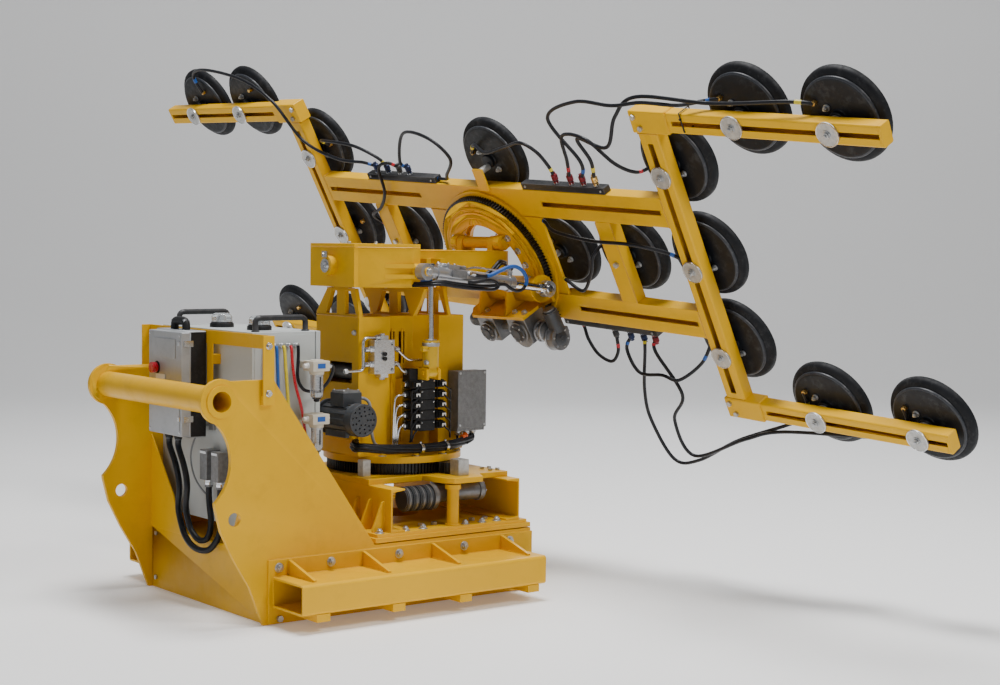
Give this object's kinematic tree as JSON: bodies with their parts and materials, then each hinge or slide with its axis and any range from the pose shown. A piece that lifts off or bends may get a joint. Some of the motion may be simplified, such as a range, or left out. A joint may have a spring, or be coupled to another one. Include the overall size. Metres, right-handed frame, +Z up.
{
  "type": "glass manipulator",
  "caption": "Vacuum suction-frame glass manipulator on a fork-carried base: slewing tower, rocking boom, tilting head and turning slotted frame with round suction pads.",
  "frame": {"origin": "on the underside of the base box, midway between its side plates, under the rear edge of the slewing column", "axes": "+X forward from the carriage to the vacuum frame, +Y to the left, +Z up; Z 0 is the underside of the base"},
  "size_m": [2.5283, 4.7817, 2.4167],
  "materials": {
    "alu_block": "machined",
    "black_plastic": "matte",
    "black_steel": "satin",
    "box_grey": "hammered paint",
    "cabinet_grey": "fine textured paint",
    "chrome": "polished",
    "clear_plastic": "clear lens",
    "cylinder_yellow": "satin",
    "dark_cast": "rough painted casting",
    "filter_plastic": "satin",
    "hood_grey": "cast",
    "hose_black": "satin",
    "hose_mixed": "satin",
    "lip_rubber": "matte",
    "motor_grey": "satin",
    "pad_plate": "black coated",
    "receiver_plastic": "satin",
    "red_plastic": "gloss",
    "yellow_paint": "satin",
    "zinc": "zinc plated"
  },
  "bodies": {
    "base": {"base_box": "yellow_paint", "fork_pocket_near": "yellow_paint", "fork_pocket_far": "yellow_paint", "side_plate_near": "yellow_paint", "side_plate_far": "yellow_paint", "cross_tube": "yellow_paint", "rear_cross_plate": "yellow_paint", "adapter_plates": "yellow_paint", "support_channels": "yellow_paint", "ring_mount_plate": "yellow_paint", "slew_inner_race": "black_steel", "slew_drive": "dark_cast", "stop_blocks": "zinc", "base_bolts": "zinc", "cabinet_bracket": "yellow_paint", "cabinet": "cabinet_grey", "cabinet_handles": "black_plastic", "beacons": "clear_plastic", "receiver": "receiver_plastic", "vacuum_filters": "filter_plastic", "connector_hoods": "hood_grey", "control_cable_inner": "hose_black", "control_cable_outer": "hose_black", "cabinet_hoses": "hose_mixed", "cabinet_cover": "cabinet_grey"},
    "stop_button": {"stop_button": "red_plastic"},
    "slew_pinion": {"slew_pinion": "dark_cast"},
    "turntable": {"slew_gear_ring": "black_steel", "turntable_plate": "yellow_paint", "tower": "yellow_paint", "electric_motor": "motor_grey", "pump_tank": "black_steel", "manifold_block": "alu_block", "valve_bank": "black_plastic", "hydraulic_pipes": "zinc", "electrical_box": "box_grey", "hose_bundle": "hose_black"},
    "motor_fan": {"motor_fan": "black_plastic"},
    "roll_cylinder_barrel": {"roll_cylinder_barrel": "cylinder_yellow"},
    "roll_cylinder_rod": {"roll_cylinder_rod": "chrome"},
    "boom": {"boom": "yellow_paint", "roll_pin": "zinc", "boom_hoses": "hose_black"},
    "tilt_cylinder_barrel": {"tilt_cylinder_barrel": "chrome"},
    "tilt_cylinder_rod": {"tilt_cylinder_rod": "chrome"},
    "head": {"head_carrier": "yellow_paint", "tilt_shaft": "yellow_paint", "turn_drives": "dark_cast"},
    "turn_pinion": {"turn_pinion": "dark_cast"},
    "vacuum_frame": {"turn_gear_ring": "black_steel", "ring_plate": "yellow_paint", "cross_beams": "yellow_paint", "uprights": "yellow_paint", "end_arms": "yellow_paint", "clamp_discs": "zinc", "vacuum_manifolds": "black_plastic", "vacuum_hoses": "hose_black", "suction_plates": "pad_plate", "suction_lips": "lip_rubber"}
  },
  "joints": [
    {"name": "slew", "type": "hinge", "parent": "base", "child": "turntable", "pos_m": [0.18, 0, 0.56], "axis": [0, 0, 1], "range_deg": [-90, 90]},
    {"name": "slew_pinion_spin", "type": "hinge", "parent": "base", "child": "slew_pinion", "pos_m": [0.26347, -0.31151, 0.53], "axis": [0, 0, 1], "continuous": true},
    {"name": "stop_button_press", "type": "slide", "parent": "base", "child": "stop_button", "axis": [1, 0, 0], "range_m": [0, 0.004], "stiffness_N_per_m": 1500},
    {"name": "fan_spin", "type": "hinge", "parent": "turntable", "child": "motor_fan", "pos_m": [-0.18513, -0.29404, 0.762], "axis": [0.0379, -0.9993, 0], "continuous": true},
    {"name": "roll", "type": "hinge", "parent": "turntable", "child": "boom", "pos_m": [0.00111, -0.0328, 1.405], "axis": [0.9993, 0.0379, 0], "range_deg": [-8, 8]},
    {"name": "roll_barrel_swing", "type": "hinge", "parent": "turntable", "child": "roll_cylinder_barrel", "pos_m": [0.19984, -0.25944, 0.945], "axis": [0.9993, 0.0379, 0], "range_deg": [-0.3, 0.3]},
    {"name": "roll_rod_slide", "type": "slide", "parent": "roll_cylinder_barrel", "child": "roll_cylinder_rod", "axis": [0, 0, 1], "range_m": [-0.036, 0.036]},
    {"name": "tilt", "type": "hinge", "parent": "boom", "child": "head", "pos_m": [0.66965, 0.01855, 1.51], "axis": [0.0379, -0.9993, 0], "range_deg": [-30.4, 59.6]},
    {"name": "tilt_barrel_swing", "type": "hinge", "parent": "boom", "child": "tilt_cylinder_barrel", "pos_m": [0.06209, -0.00447, 1.385], "axis": [0.0379, -0.9993, 0], "range_deg": [-7, 12]},
    {"name": "tilt_rod_slide", "type": "slide", "parent": "tilt_cylinder_barrel", "child": "tilt_cylinder_rod", "axis": [0.9929, 0.0376, -0.1127], "range_m": [-0.1, 0.18]},
    {"name": "turn", "type": "hinge", "parent": "head", "child": "vacuum_frame", "pos_m": [0.77613, 0.02259, 1.42768], "axis": [0.8619, 0.0327, 0.506], "range_deg": [-180, 180]},
    {"name": "turn_pinion_spin", "type": "hinge", "parent": "head", "child": "turn_pinion", "pos_m": [0.9289, -0.20179, 1.17997], "axis": [0.8619, 0.0327, 0.506], "continuous": true}
  ],
  "couplings": [
    {"joint": "slew_pinion_spin", "follows": "slew", "ratio": -7.6},
    {"joint": "roll_barrel_swing", "follows": "roll", "ratio": -0.02},
    {"joint": "roll_rod_slide", "follows": "roll", "m_per_rad": -0.234},
    {"joint": "tilt_barrel_swing", "follows": "tilt", "ratio": 0.18},
    {"joint": "tilt_rod_slide", "follows": "tilt", "m_per_rad": 0.1665},
    {"joint": "turn_pinion_spin", "follows": "turn", "ratio": -8.8}
  ]
}
